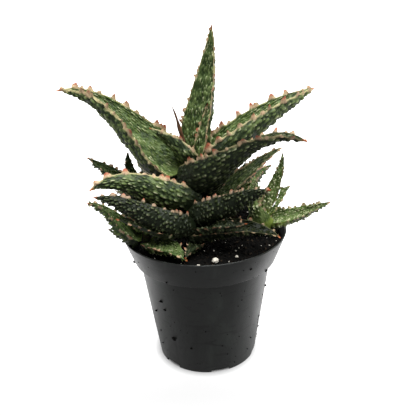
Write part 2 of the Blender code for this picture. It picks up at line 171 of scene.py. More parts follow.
# The fresh plant has paler tubercles and duller teeth, and its leaves are yellow green towards their bases,
# the rims too. Its sheath leaf bears no tubercles up to the sheath's bare share.
FRESH_PLANT = "right"
SHEATH = "left"
SHEATH_BARE = 0.3

# How much painted shade darkens a plant's leaves, or one leaf's: most on the pup at the front and on the
# leaves that lie under others
PAINTED_SHADE_LEVELS = {"mother": 0.0, "front": 1.0, "left": 0.15, "right": 0.0, "back_left": 0.6, "back_right": 0.2,
        "front_low_right": 1.2, "front_middle": 1.2, "mother_sweep": 0.75, "mother_right_mid": 0.45,
        "mother_left_under": 1.0, "mother_front_small": 0.7, "mother_inner_left": 0.25}

# Stage. The floor's glow begins at the pot's foot and is full a little further out. The lamp's breadth and
# leans are in degrees.
FLOOR_REACH = 12.0
GLOW_FROM = 0.030
GLOW_FULL = 0.037
GLOW = 0.65
LAMP_STRENGTH = 5.8
LAMP_BREADTH = 55
LAMP_LEANS = (14, 10, 0)

# Camera: the photograph's frame and focal length in pixels, the point looked at and how far off it is, and
# the angle above level and the lean to one side, in degrees
FRAME_PIXELS = 416
FOCAL_PIXELS = 600
VIEW_AIM = (0.0027, 0, 0.1024)
VIEW_DISTANCE = 0.381
VIEW_ELEVATION = 22.7
VIEW_LEAN = 1.65

# What the leaves' material reads from their points
LEAF_MARKS = ("wart", "pale", "rim", "flesh", "point", "share", "channel", "painted_base_shade", "collar", "young", "shade")

# Each leaf: the side of the stem that it grows from and its height there; its heading and its rise above
# level (at root, middle and tip) and its roll (at root and tip), in degrees; its length, and its width round
# the channel; the angle that its two margins are folded up by, in degrees; how far a tooth stands out, none
# on a dry leaf; and the base's share of the width.
# Leaves that come first keep their whole shape, and later ones are cut back where they press on them.
LEAF_SIZES = "name side height heading rise roll length width fold tooth base"
Leaf = namedtuple("Leaf", LEAF_SIZES, defaults=(0.9,))
LEAVES = {}
LEAVES["mother"] = [
    Leaf("sweep", 220, 0.121, (-35, -22, -2), (10, 39, -33), (-62, 18), 0.089, 0.028, 85, 0.0022, 0.85),
    Leaf("left_low", 285, 0.109, (205, 198, 210), (8, 29, -28), (35, 85), 0.071, 0.029, 65, 0.0018),
    Leaf("left_long", 175, 0.128, (160, 175, 199), (15, 48, -3), (-33, 0), 0.093, 0.034, 133, 0.0024),
    Leaf("right_high", 0, 0.127, (2, 16, 44), (51, 31, 7), (-8, 0), 0.091, 0.034, 138, 0.0024),
    Leaf("heart", 335, 0.129, (45, 40, 35), (79, 81, 81), (30, 30), 0.041, 0.014, 80, 0.001),
    Leaf("top_blade", 90, 0.131, (35, 42, 49), (83, 74, 85), (-2, 17), 0.085, 0.026, 55, 0.0014, 0.8),
    Leaf("inner_left", 195, 0.131, (190, 182, 174), (64, 46, 20), (30, 40), 0.036, 0.018, 80, 0.0014, 0.7),
    Leaf("dry_left", 140, 0.130, (165, 165, 170), (82, 78, 68), (35, 50), 0.040, 0.005, 60, 0.0),
    Leaf("right_mid", 345, 0.109, (3, 27, 39), (18, 31, 2), (17, 40), 0.063, 0.014, 95, 0.0014),
    Leaf("front_small", 275, 0.113, (-30, -10, 3), (36, 30, 40), (-5, 40), 0.026, 0.013, 98, 0.0008),
    Leaf("back_right", 65, 0.117, (55, 60, 50), (20, 14, -10), (0, 0), 0.066, 0.025, 100, 0.002),
    Leaf("back", 105, 0.121, (95, 82, 78), (25, 20, -5), (0, 0), 0.066, 0.026, 100, 0.002),
    Leaf("back_low", 145, 0.110, (135, 125, 115), (15, 10, -15), (0, 0), 0.060, 0.024, 95, 0.0018),
    Leaf("left_under", 215, 0.104, (210, 200, 194), (22, 18, -4), (-10, -30), 0.054, 0.020, 90, 0.0016),
    Leaf("back_under", 70, 0.106, (75, 62, 50), (20, 18, -10), (0, 0), 0.056, 0.022, 95, 0.0018),
]
LEAVES["front"] = [
    Leaf("left", 270, 0.100, (222, 190, 186), (5, 34, 3), (35, 95), 0.065, 0.023, 65, 0.0016, 0.4),
    Leaf("right", 235, 0.105, (-8, -24, -34), (5, 32, 16), (-38, -65), 0.058, 0.022, 110, 0.0016, 0.5),
    Leaf("low_right", 220, 0.093, (0, -17, -4), (7, 11, -38), (-10, 42), 0.060, 0.020, 70, 0.0014),
    Leaf("low_left", 325, 0.091, (255, 247, 255), (-4, -3, -5), (-8, -5), 0.025, 0.011, 90, 0.0012),
    Leaf("heart", 330, 0.107, (340, 318, 300), (50, 40, 20), (0, 0), 0.016, 0.009, 80, 0.0008),
    Leaf("middle", 300, 0.098, (310, 330, 350), (20, 18, 4), (0, 30), 0.036, 0.014, 90, 0.0012),
    Leaf("second_left", 240, 0.097, (225, 200, 205), (6, 26, 14), (0, -60), 0.048, 0.015, 85, 0.0012),
]
LEAVES["left"] = [
    Leaf("out", 200, 0.091, (180, 170, 205), (17, 50, 11), (-10, 0), 0.041, 0.017, 105, 0.0014),
    Leaf("front", 290, 0.091, (-40, -42, -50), (9, -4, -20), (10, 25), 0.033, 0.019, 85, 0.0014),
    Leaf("rim", 220, 0.092, (177, 161, 155), (-2, 10, 28), (-6, -8), 0.023, 0.009, 100, 0.0008),
    Leaf("heart", 250, 0.097, (235, 245, 255), (70, 60, 50), (0, 0), 0.018, 0.010, 80, 0.0008),
    Leaf("back", 130, 0.094, (135, 140, 150), (40, 35, 20), (0, 0), 0.030, 0.014, 95, 0.0012),
    Leaf("inner", 300, 0.096, (300, 290, 270), (50, 40, 20), (0, 0), 0.016, 0.009, 85, 0.0008),
    Leaf("dry", 330, 0.097, (-20, -24, -40), (50, 20, -35), (0, 0), 0.026, 0.0045, 70, 0.0),
]
LEAVES["right"] = [
    Leaf("left", 255, 0.089, (260, 220, 180), (60, 78, 60), (0, 0), 0.025, 0.020, 120, 0.001),
    Leaf("long", 340, 0.093, (-9, -4, -11), (0, 21, 24), (15, 35), 0.043, 0.015, 95, 0.0014),
    Leaf("up", 45, 0.099, (35, 33, 31), (49, 65, 88), (20, 33), 0.040, 0.011, 88, 0.001),
    Leaf("small", 5, 0.099, (9, 14, 20), (51, 41, 24), (45, 55), 0.023, 0.013, 87, 0.0008),
    Leaf("front", 300, 0.098, (300, 310, 330), (72, 78, 72), (0, 0), 0.020, 0.011, 90, 0.001),
    Leaf("back", 110, 0.095, (100, 90, 80), (40, 35, 15), (0, 0), 0.032, 0.013, 95, 0.0012),
]
LEAVES["back_left"] = [
    Leaf("out", 195, 0.101, (195, 184, 183), (42, 44, 30), (-7, -40), 0.049, 0.017, 95, 0.0012),
    Leaf("up", 165, 0.101, (167, 160, 164), (48, 71, 103), (-3, -60), 0.036, 0.014, 80, 0.0008),
    Leaf("back", 100, 0.100, (105, 100, 92), (35, 34, 12), (0, 0), 0.036, 0.014, 95, 0.0012),
    Leaf("low", 150, 0.096, (150, 146, 140), (14, 14, -6), (0, 0), 0.030, 0.012, 90, 0.001),
    Leaf("right", 20, 0.102, (20, 30, 40), (55, 50, 20), (0, 0), 0.028, 0.012, 90, 0.001),
]
LEAVES["back_right"] = [
    Leaf("small", 340, 0.101, (-16, -11, 0), (35, 31, 40), (17, 30), 0.025, 0.012, 85, 0.001),
    Leaf("up", 300, 0.103, (310, 325, 350), (70, 72, 60), (0, 0), 0.026, 0.010, 90, 0.0008),
    Leaf("front", 280, 0.102, (300, 318, 335), (50, 50, 40), (0, 20), 0.024, 0.010, 90, 0.001),
    Leaf("out", 30, 0.099, (28, 32, 40), (35, 32, 10), (0, 0), 0.034, 0.014, 95, 0.0012),
    Leaf("back", 100, 0.098, (95, 90, 84), (30, 26, 4), (0, 0), 0.032, 0.013, 95, 0.0012),
]


# Meshes from grids of points

def grid_faces(rows, columns):
    """Triangles of a grid of points that meets itself again across its columns."""
    i, j = np.meshgrid(np.arange(rows - 1), np.arange(columns), indexing="ij")
    a = i * columns + j
    b = i * columns + (j + 1) % columns
    c, d = b + columns, a + columns
    return np.concatenate([np.stack([a, b, c], -1).reshape(-1, 3), np.stack([a, c, d], -1).reshape(-1, 3)])


def closed(grid, first, last):
    """Points and triangles of a tube of rings, closed by a point before the first and one after the last."""
    rows, columns = grid.shape[:2]
    points = np.vstack([grid.reshape(-1, 3), first, last])
    start, end = rows * columns, rows * columns + 1
    i = np.arange(columns)
    j = (i + 1) % columns
    high = (rows - 1) * columns
    front = np.stack([np.full(columns, start), j, i], -1)
    back = np.stack([high + i, high + j, np.full(columns, end)], -1)
    return points, np.concatenate([grid_faces(rows, columns), front, back])


def facing_out(points, faces):
    """The triangles, turned round if they enclose less than nothing."""
    corners = points[faces]
    volume = np.einsum("ij,ij->i", corners[:, 0], np.cross(corners[:, 1], corners[:, 2])).sum()
    return faces if volume > 0 else faces[:, ::-1]


def new_mesh(name, points, faces, marks=None):
    """A mesh object of these triangles. Marks become its attributes: a number or a place for each point."""
    mesh = bpy.data.meshes.new(name)
    faces = facing_out(points, faces)
    mesh.vertices.add(len(points))
    mesh.vertices.foreach_set("co", points.astype(np.float32).ravel())
    mesh.loops.add(faces.size)
    mesh.loops.foreach_set("vertex_index", faces.astype(np.int32).ravel())
    mesh.polygons.add(len(faces))
    mesh.polygons.foreach_set("loop_start", np.arange(0, faces.size, 3, dtype=np.int32))
    mesh.update(calc_edges=True)
    for label, values in (marks or {}).items():
        kind, key = ("FLOAT", "value") if values.ndim == 1 else ("FLOAT_VECTOR", "vector")
        mesh.attributes.new(label, kind, "POINT").data.foreach_set(key, values.astype(np.float32).ravel())
    made = bpy.data.objects.new(name, mesh)
    bpy.context.scene.collection.objects.link(made)
    return made


def dress(thing, finish, slot, *nodes, sharp=70):
    """Give a finished piece its material and smooth shading, and let it stand for nodes of the frame."""
    thing.data.materials.clear()
    thing.data.materials.append(finish)
    thing.data.shade_smooth()
    thing.data.set_sharp_from_angle(angle=math.radians(sharp))
    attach(thing, "root")
    if nodes:
        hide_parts(*nodes)
    return thing


def cut(target, cutters):
    """Take each cutter's solid out of the target and keep the largest body of what is left."""
    for cutter in cutters:
        modifier = target.modifiers.new("cut", "BOOLEAN")
        modifier.operation = "DIFFERENCE"
        modifier.solver = "MANIFOLD"
        modifier.object = cutter
    bpy.context.view_layer.update()
    evaluated = target.evaluated_get(bpy.context.evaluated_depsgraph_get())
    mesh = bpy.data.meshes.new_from_object(evaluated)
    target.modifiers.clear()
    target.data = mesh
    drop_scraps(mesh)


def drop_scraps(mesh):
    """Delete every body of the mesh but the one with the most points.

    Each point takes the lowest label among its neighbours, over and over, until no label changes."""
    edges = np.empty(len(mesh.edges) * 2, np.int32)
    mesh.edges.foreach_get("vertices", edges)
    edges = edges.reshape(-1, 2)
    label = np.arange(len(mesh.vertices))
    while True:
        low = np.minimum(label[edges[:, 0]], label[edges[:, 1]])
        lower = label.copy()
        np.minimum.at(lower, edges[:, 0], low)
        np.minimum.at(lower, edges[:, 1], low)
        lower = lower[lower]
        if (lower == label).all():
            break
        label = lower
    names, counts = np.unique(label, return_counts=True)
    if len(names) > 1:
        shape = bmesh.new()
        shape.from_mesh(mesh)
        shape.verts.ensure_lookup_table()
        scraps = np.flatnonzero(label != names[counts.argmax()])
        bmesh.ops.delete(shape, geom=[shape.verts[i] for i in scraps], context="VERTS")
        shape.to_mesh(mesh)
        shape.free()


def tree_of(thing):
    return BVHTree.FromObject(thing, bpy.context.evaluated_depsgraph_get())


def smooth(values, low, high):
    """0 up to low, 1 from high on, and an S-shaped rise between them."""
    x = np.clip((values - low) / (high - low), 0, 1)
    return x * x * (3 - 2 * x)


def bumps(x, y, pitch, row, size, rng, missing=0.08, lean=0.0):
    """Height and paleness, from 0 to 1, of a field of rounded bumps at the places x and y.

    The bumps stand in a lattice, pitch apart along x and row apart along y, and every other row is shifted
    by half a pitch. Each one's place, size and paleness are drawn at random, and a few are missing. A bump is
    one less the square of the distance from its middle, with half its length and half its width as units,
    and its pale fleck is half as wide. Lean shortens the side ahead of its middle and lengthens the other."""
    draws = rng.random((*DRAWN_BUMPS, 5))
    best = np.zeros(np.broadcast(x, y).shape)
    pale = np.zeros_like(best)
    line0 = np.floor(y / row)
    for step in (-1, 0, 1):
        line = line0 + step
        shift = 0.5 * (line % 2)
        cell0 = np.floor(x / pitch - shift)
        for stride in (-1, 0, 1):
            cell = cell0 + stride
            draw = draws[line.astype(int) % DRAWN_BUMPS[0], cell.astype(int) % DRAWN_BUMPS[1]]
            scale = LEAST_BUMP + BUMP_SPREAD * draw[..., 2]
            off_x = x - pitch * (cell + shift + 0.2 + 0.6 * draw[..., 0])
            off_y = y - row * (line + 0.25 + 0.5 * draw[..., 1])
            reach = size[0] / 2 * scale * (1 - lean * np.sign(off_x))
            across = (off_y / (size[1] / 2 * scale)) ** 2
            present = (draw[..., 3] > missing) * scale / (LEAST_BUMP + BUMP_SPREAD)
            height = np.clip(1 - (off_x / reach) ** 2 - across, 0, 1) * present
            fleck = np.clip(1 - (off_x / reach) ** 2 - 4 * across, 0, 1) * present
            pale = np.where(height > best, fleck * (0.1 + 0.9 * draw[..., 4] ** 1.3), pale)
            best = np.maximum(best, height)
    return best, pale


# Leaves

def crown_radius(stem, height):
    """How far from the stem's axis a leaf starts: on a cylinder under a dome as high as its radius."""
    up = min(max((height - (stem.top - stem.crown_radius)) / stem.crown_radius, 0), 1)
    return stem.crown_radius * math.sqrt(1 - up * up)


def through(values, s):
    """The quadratic that passes through three values at root, middle and tip."""
    root, middle, tip = values
    return root * (1 - s) * (1 - 2 * s) + 4 * middle * s * (1 - s) + tip * s * (2 * s - 1)


def leaf_spine(stem, leaf, shares):
    """The leaf's midline at the shares of its length, with its direction, upper normal and right side.

    The direction's heading and rise are quadratics of the share s of the length, and the midline is its
    integral from the crown's surface. Roll turns the normal and the side about the direction."""
    s = np.linspace(0, 1, SPINE_STEPS + 1)
    heading = np.radians(through(leaf.heading, s))
    rise = np.radians(through(leaf.rise, s))
    roll = np.radians(leaf.roll[0] + (leaf.roll[1] - leaf.roll[0]) * s)[:, None]
    ahead = np.stack([np.cos(heading), np.sin(heading), np.zeros_like(s)], axis=1)
    upright = np.array([0, 0, 1])
    along = ahead * np.cos(rise)[:, None] + upright * np.sin(rise)[:, None]
    level_normal = upright * np.cos(rise)[:, None] - ahead * np.sin(rise)[:, None]
    level_side = np.cross(along, level_normal)
    normal = level_normal * np.cos(roll) + level_side * np.sin(roll)
    side = level_side * np.cos(roll) - level_normal * np.sin(roll)
    reach = crown_radius(stem, leaf.height) + GAP
    turn = math.radians(leaf.side)
    root = np.array([stem.x + reach * math.cos(turn), stem.y + reach * math.sin(turn), leaf.height])
    steps = (along[1:] + along[:-1]) / 2 * leaf.length / SPINE_STEPS
    place = np.vstack([root, root + np.cumsum(steps, axis=0)])
    return [np.stack([np.interp(shares, s, axis) for axis in curve.T], axis=1)[:, None]
            for curve in (place, along, normal, side)]


def half_width(leaf, s):
    """Half of the leaf's width at the shares s of its length.

    It swells as a sine from the base's share to the whole at the belly, then tapers to nothing at the tip:
    almost evenly on a live leaf, and late on a dry one."""
    swell = leaf.base + (1 - leaf.base) * np.sin(np.clip(s / BELLY, 0, 1) * math.pi / 2)
    beyond = np.clip((s - BELLY) / (1 - BELLY), 0, 1)
    lateness = 1.15 if leaf.tooth else 2.4
    return leaf.width / 2 * swell * (1 - beyond**lateness) ** 0.95


def section_places(columns):
    """Places v round the leaf's section, from -1 at one margin to 1 at the other and back, and their faces.

    The face is 0 below and 1 above. The places crowd towards the margins as a sine does, so that the rim and
    its teeth are drawn finely."""
    v = np.sin(MARGIN_CROWDING * np.linspace(-1, 1, columns + 1)) / math.sin(MARGIN_CROWDING)
    face = np.zeros(2 * columns)
    face[columns + 1:] = 1
    return np.concatenate([v, v[-2:0:-1]])[None], face[None]


def plain_leaf(stem, leaf, s, v, face):
    """The leaf without its relief, on a grid of the shares s along it and the places v round its section.

    It gives the points, the ways out of the faces and of the margins, and the spine's direction and midline.
    The upper face's section is an arc that turns by the fold angle from margin to margin. The lower face lies
    outside that arc by a thickness that falls to nothing at the margins and thins towards the tip."""
    place, along, normal, side = leaf_spine(stem, leaf, s)
    fold = math.radians(leaf.fold)
    turn = (v * fold / 2)[..., None]
    radius = (2 * half_width(leaf, s) / fold)[:, None, None]
    thickness = (THICKNESS_SHARE * leaf.width * (1.05 - s**2))[:, None] * (1 - np.abs(v) ** 2.4) * (1 - face)
    outward = side * np.sin(turn) - normal * np.cos(turn)
    points = place + side * radius * np.sin(turn) + normal * radius * (1 - np.cos(turn))
    away = side * np.sign(v)[..., None] * math.cos(fold / 2) + normal * math.sin(fold / 2)
    return points + outward * thickness[..., None], outward * (1 - 2 * face)[..., None], away, along, place


def margin_teeth(leaf, s, rng):
    """How far one margin stands out at the shares s, and how near each share is to a tooth, from 0 to 1.

    A tooth is a broad soft hump that carries a narrow spike, set off its middle. Teeth shrink a little
    towards the tip, and fast at the very tip. Their spacing grows from root to tip and with the leaf's
    width. Spacing, height and width are drawn at random."""
    reach = np.zeros_like(s)
    near = np.zeros_like(s)
    at = BARE_SHARE + rng.uniform(0, 0.04)
    while at < LAST_TOOTH:
        height = leaf.tooth * min(1.0 - 0.25 * at, 0.25 + 4 * (1 - at)) * rng.uniform(*TOOTH_HEIGHTS)
        foot = (0.7 * MM + 0.55 * height) * rng.uniform(*TOOTH_FEET)
        off = (s - s[np.abs(s - at).argmin()]) * leaf.length
        hump = smooth(1 - np.abs(off) / foot, 0, 0.65)
        spike = np.clip(1 - np.abs(off - rng.choice((-0.3, 0, 0.3)) * foot) / (0.45 * foot), 0, 1)
        reach = np.maximum(reach, height * (0.75 * hump + 0.25 * spike))
        near = np.maximum(near, hump)
        pitch = (2.1 * MM + 0.085 * leaf.width) * (0.75 + 0.8 * at)
        at += pitch * rng.uniform(*TOOTH_SPACINGS) / leaf.length
    return reach, near


def middle_of(rings):
    return rings.mean(axis=1, keepdims=True)


def tubercles(leaf, skin, s, x, y, half, face, bare, rim, rng):
    """Height and paleness, from 0 to 1, of the tubercles on both faces at the places x along and y across.

    They fade in past the bare share, and out at the rim and the tip. Their rows draw together where the blade
    narrows, but less than the blade does."""
    covered = smooth(s, bare, 0.08 + 2 * bare)[:, None] * smooth(1.01 - s, 0, 0.06)[:, None]
    covered = covered * (1 - smooth(rim, 0.1, 0.9))
    squeeze = np.minimum((half * 2 / leaf.width) ** -0.45, 2.2)
    wart = np.zeros_like(x)
    pale = np.zeros_like(x)
    for side, share in ((0, 1), (1, skin.channel_pale)):
        size = (skin.length, skin.width)
        field, light = bumps(x, y * squeeze, skin.pitch, skin.row, size, rng, lean=0.3)
        wart += field * (face == side) * covered
        pale += light * (face == side) * covered * share
    return wart, pale


def leaf_points(stem, leaf, young, fresh, painted_shade, rng):
    """Points, triangles and marks of a leaf with its relief.

    Both faces rise into tubercles, which lean towards the tip. Within the rim's width of a margin the points
    move out by the tooth's reach, less the further they are from the margin, and lean towards the tip. The
    whole blade waves a little along its length, and its root draws in like the end of an ellipse."""
    skin = PUP_SKIN if young else MOTHER_SKIN
    narrow = min(leaf.width / SMALL_LEAF, 1)
    tooth_scale = skin.tooth * (min(SMALL_LEAF / leaf.width, 1) ** 0.5 if young else 1)
    s = np.linspace(0, LAST_STATION, round(leaf.length / skin.station))
    v, face = section_places(max(round(leaf.width / skin.column), 12))
    points, outward, away, along, place = plain_leaf(stem, leaf, s, v, face)
    half = half_width(leaf, s)[:, None]
    x = (s * leaf.length)[:, None] + 0 * v
    y = half * v
    drift = rng.uniform(0, 6.3, 4)
    uneven = 1 + 0.3 * np.sin(x / (1.1 * MM) + drift[2])
    uneven = uneven + 0.25 * np.sin(x / (2.7 * MM) + drift[3] * np.sign(v))
    rim = np.clip(1 - half * (1 - np.abs(v)) / (skin.rim * uneven), 0, 1)
    wave = np.sin(x / (3.1 * MM) + drift[0] + v) + 0.6 * np.sin(x / (1.3 * MM) + drift[1] - 2 * v)
    wart, pale, reach, near, point = (np.zeros_like(x) for _ in range(5))
    if leaf.tooth:
        bare = SHEATH_BARE if fresh and leaf.name == SHEATH else 0
        wart, pale = tubercles(leaf, skin, s, x, y, half, face, bare, rim, rng)
        for sign in (-1, 1):
            stands_out, tooth = margin_teeth(leaf, s, rng)
            reach += tooth_scale * stands_out[:, None] * (np.sign(v) == sign)
            near += tooth[:, None] * (np.sign(v) == sign)
        rise = (skin.rise + (skin.channel_rise - skin.rise) * face) * wart ** (1 + 0.5 * young) * narrow
        points = points + outward * rise[..., None] + along * (0.5 * rise)[..., None]
        point = reach * rim**1.4 / (tooth_scale * leaf.tooth)
    ripple = WAVE * wave * smooth(s, 0, 0.2)[:, None] * 0.6
    points += outward * (1 - 2 * face)[..., None] * ripple[..., None]
    points += away * (reach * rim**1.4)[..., None] + along * (0.35 * reach * rim**2)[..., None]
    near_root = np.clip(1 - s / ROOT_SHARE, 0, 1)[:, None, None]
    points = middle_of(points) + (points - middle_of(points)) * np.sqrt(1 - 0.9 * near_root**2)
    tip = place[-1] + along[-1] * leaf.length * (1 - LAST_STATION)
    points, faces = closed(points, points[0].mean(axis=0), tip)
    share = s[:, None] + 0 * v
    fresh_base = fresh * (0.2 + 0.8 * (1 - face) * smooth(0.4 - share, 0, 0.2))
    marks = {
        "wart": wart,
        "pale": np.maximum(pale, 0.7 * fresh * wart),
        "rim": rim * skin.rim_pale * (1 - fresh * smooth(0.5 - share, 0, 0.2)),
        # Painted shade dims the teeth's cream feet too
        "flesh": near * smooth(rim, 0.05, 0.6) * (1 - 0.4 * fresh) * (1 - 0.35 * painted_shade),
        "point": point * (1 - 0.5 * fresh - 0.25 * young * (1 - fresh)),
        "share": share,
        "channel": face + 0 * x,
        # Painted shade on the outer face towards the root, where it lies under the crown
        "painted_base_shade": (1 - face) * smooth(0.42 - share, 0, 0.4) * (1 - fresh),
        "collar": 0.35 * face * smooth(0.16 - share, 0, 0.16) + fresh_base,
        "young": 0 * x + young,
        # How deep in painted shade the whole leaf lies
        "shade": 0 * x + painted_shade,
    }
    marks = {label: np.append(values.ravel(), [values[0].mean(), values[-1].mean()])
             for label, values in marks.items()}
    grain = np.stack([x, y, face + 0 * x], axis=-1).reshape(-1, 3)
    marks["grain"] = np.vstack([grain, [[0, 0, 0], [1, 0, 0]]])
    return points, faces, marks


def leaf_envelope(stem, leaf):
    """Points and triangles of a smooth shape round the leaf that holds all but its tallest relief."""
    clear = 2 * GAP
    s = np.linspace(0, LAST_STATION, round(leaf.length / ENVELOPE_STATION))
    v, face = section_places(ENVELOPE_COLUMNS)
    points, outward, away, along, place = plain_leaf(stem, leaf, s, v, face)
    covered = ((s > BARE_SHARE) * (leaf.tooth > 0))[:, None]
    at_margin = np.abs(v) > 0.999
    tooth = leaf.tooth * covered * (1 - 0.4 * s[:, None]) + clear
    points = points + outward * ((MOST_RISE * covered + GAP) * ~at_margin)[..., None]
    points += away * (tooth * at_margin)[..., None]
    points[0] -= along[0] * clear
    tip = place[-1] + along[-1] * (leaf.length * (1 - LAST_STATION) + clear)
    return closed(points, points[0].mean(axis=0), tip)


def make_leaves(flesh, dry, envelopes):
    """Make the leaves in order, and cut each one back from the envelopes of stems and earlier leaves."""
    rows = [(plant, leaf) for plant, leaves in LEAVES.items() for leaf in leaves]
    for number, (plant, leaf) in enumerate(rows, start=1):
        rng = np.random.default_rng(number)
        node = f"{plant}_{leaf.name}"
        young = 0.0 if plant == "mother" else 1.0
        fresh = 1.0 if plant == FRESH_PLANT else 0.0
        # The leaf's painted shade: its own or its plant's level, scaled a little at random
        painted_shade = PAINTED_SHADE_LEVELS.get(node, PAINTED_SHADE_LEVELS[plant]) * rng.uniform(0.85, 1.05)
        points, faces, marks = leaf_points(STEMS[plant], leaf, young, fresh, painted_shade, rng)
        if node in PALE_RIMS:
            marks["rim"] = np.minimum(2 * marks["rim"], 1)
            marks["shade"] = marks["shade"] * (1 - marks["rim"])
        thing = new_mesh(node + "_leaf", points, faces, marks)
        tree = tree_of(thing)
        pressed = [envelope for envelope in envelopes if tree_of(envelope).overlap(tree)]
        if pressed:
            cut(thing, pressed)
        if leaf.tooth:
            dress(thing, flesh, "leaf_skin", node)
        else:
            dress(thing, dry, "dry_leaf", node)
        envelopes.append(new_mesh("envelope", *leaf_envelope(STEMS[plant], leaf)))
    for envelope in envelopes:
        bpy.data.objects.remove(envelope)


# Stems

def stem_points(stem, clear=0.0):
    """A round stem from the bottom of its hole to its dome, fatter all round by clear, ringed by leaf scars.

    The radius along the height is the stem's, less a shallow notch at each scar, and a quarter circle on top.
    A stem with clear space round it has no scars."""
    radius = stem.radius + clear
    bottom = SOIL_TOP - HOLE_DEPTH + GAP - clear
    shoulder = stem.top - stem.radius
    height = np.linspace(bottom, shoulder, 60)
    scar = (1 - np.abs(np.sin(height / SCAR_SPACING * math.pi))) ** 4 * (0 if clear else SCAR_DEPTH)
    turn = np.linspace(0, math.pi / 2, 9)[1:-1]
    radii = np.concatenate([radius - scar, radius * np.cos(turn)])
    heights = np.concatenate([height, shoulder + radius * np.sin(turn)])
    return lathe(radii, heights, 32, (stem.x, stem.y), stem.top + clear)


def lathe(radii, heights, sides, middle=(0, 0), top=None):
    """Points and triangles of a profile of radii and heights, turned about an upright axis and closed."""
    angle = np.arange(sides) * 2 * math.pi / sides
    grid = np.stack([
        middle[0] + radii[:, None] * np.cos(angle),
        middle[1] + radii[:, None] * np.sin(angle),
        heights[:, None] + 0 * angle,
    ], axis=-1)
    low = (*middle, heights[0])
    return closed(grid, low, (*middle, heights[-1] if top is None else top))


def make_stems(bark):
    """The stems, and the plain envelopes that the leaves are cut back from."""
    envelopes = []
    for name, stem in STEMS.items():
        dress(new_mesh(name + "_stalk", *stem_points(stem)), bark, "stem_skin", name + "_stem")
        envelopes.append(new_mesh("envelope", *stem_points(stem, GAP)))
    return envelopes


# Pot

def pot_profile():
    """The pot's wall: a flat rest, a raised drain channel, a tapering body, a step and a wide rim band."""
    body_top = POT_HEIGHT - BAND_HEIGHT
    slope = (BODY_TOP_RADIUS - FOOT_RADIUS) / body_top
    foot_inner = FOOT_RADIUS - WALL
    floor_top = CHANNEL_RISE + WALL
    return np.array([
        (FAN_RADIUS, 0),
        (REST_RADIUS, 0),
        (REST_RADIUS + CHANNEL_SLOPE, CHANNEL_RISE),
        (foot_inner, CHANNEL_RISE),
        (foot_inner, 0),
        (FOOT_RADIUS, 0),
        (BODY_TOP_RADIUS, body_top - STEP_HEIGHT),
        (BAND_FOOT_RADIUS, body_top),
        (RIM_RADIUS, POT_HEIGHT),
        (RIM_RADIUS - WALL, POT_HEIGHT),
        (BAND_FOOT_RADIUS - WALL, body_top + WALL),
        (BODY_TOP_RADIUS - WALL, body_top),
        (FOOT_RADIUS - WALL + slope * floor_top, floor_top),
        (REST_RADIUS + CHANNEL_SLOPE - WALL / 2, floor_top),
        (REST_RADIUS - WALL / 2, WALL),
        (FAN_RADIUS, WALL),
    ])


def rounded(profile, radius, steps):
    """The profile with each inner corner turned into a quadratic curve that starts and ends a radius away."""
    before, corner, after = profile[:-2], profile[1:-1], profile[2:]

    def toward(other):
        gap = other - corner
        far = np.linalg.norm(gap, axis=1, keepdims=True)
        return corner + gap / far * np.minimum(radius, far / 2.1)

    t = np.linspace(0, 1, steps + 1)[None, :, None]
    start, end = toward(before)[:, None], toward(after)[:, None]
    curve = start * (1 - t) ** 2 + 2 * corner[:, None] * t * (1 - t) + end * t**2
    return np.vstack([profile[:1], curve.reshape(-1, 2), profile[-1:]])


def make_pot(plastic):
    """The pot's wall turned from its rounded profile, with drain notches and a drain hole by each one."""
    radii, heights = rounded(pot_profile(), CORNER, CORNER_STEPS).T
    pot = new_mesh("pot_shell", *lathe(radii, heights, POT_SIDES))
    cutters = []
    middle = (REST_RADIUS + CHANNEL_SLOPE + FOOT_RADIUS - WALL) / 2
    for turn in FIRST_NOTCH + np.arange(NOTCHES) * 2 * math.pi / NOTCHES:
        cutters.append(notch(turn))
        ends = np.array([CHANNEL_RISE - 2 * WALL, CHANNEL_RISE + 3 * WALL])
        place = (middle * math.cos(turn), middle * math.sin(turn))
        cutters.append(new_mesh("drain", *lathe(np.full(2, DRAIN_RADIUS), ends, 24, place)))
    cut(pot, cutters)
    for cutter in cutters:
        bpy.data.objects.remove(cutter)
    dress(pot, plastic, "black_plastic", "nursery_pot", sharp=50)


def notch(turn):
    """A block across the foot of the wall, with rounded upper corners, that cuts the way out for water."""
    t = np.linspace(0, math.pi, 13)
    across = NOTCH_WIDTH / 2 * np.sign(np.cos(t)) * np.abs(np.cos(t)) ** 0.3
    height = NOTCH_HEIGHT * np.sin(t) ** 0.5
    across = np.append(across, [-NOTCH_WIDTH / 2, NOTCH_WIDTH / 2])
    height = np.append(height, [-NOTCH_HEIGHT, -NOTCH_HEIGHT])
    out = np.array([FOOT_RADIUS - 3 * WALL, FOOT_RADIUS + 2 * WALL])[:, None]
    away = np.array([math.cos(turn), math.sin(turn), 0])
    beside = np.array([-math.sin(turn), math.cos(turn), 0])
    grid = out[..., None] * away + across[:, None] * beside + height[:, None] * np.array([0, 0, 1])
    return new_mesh("notch", *closed(grid, grid[0].mean(axis=0), grid[1].mean(axis=0)))


# Soil and what lies on it

def soil_height(x, y):
    """The soil's plain surface: level, with low waves."""
    wave = np.sin(310 * x + 1.0) * np.cos(270 * y) + 0.6 * np.sin(520 * y + 330 * x)
    return SOIL_TOP + SOIL_BUMP * wave


def crumbly_height(x, y):
    """The soil's surface with its crumbs: fields of bumps of three sizes, about the plain surface."""
    rng = np.random.default_rng(SOIL_SEED)
    height = soil_height(x, y) - CRUMB_BED
    for size, rise in CRUMB_FIELDS:
        height = height + rise * bumps(x, y, size * 1.1, size, (size * 1.3, size * 1.2), rng, 0.3)[0]
    return height


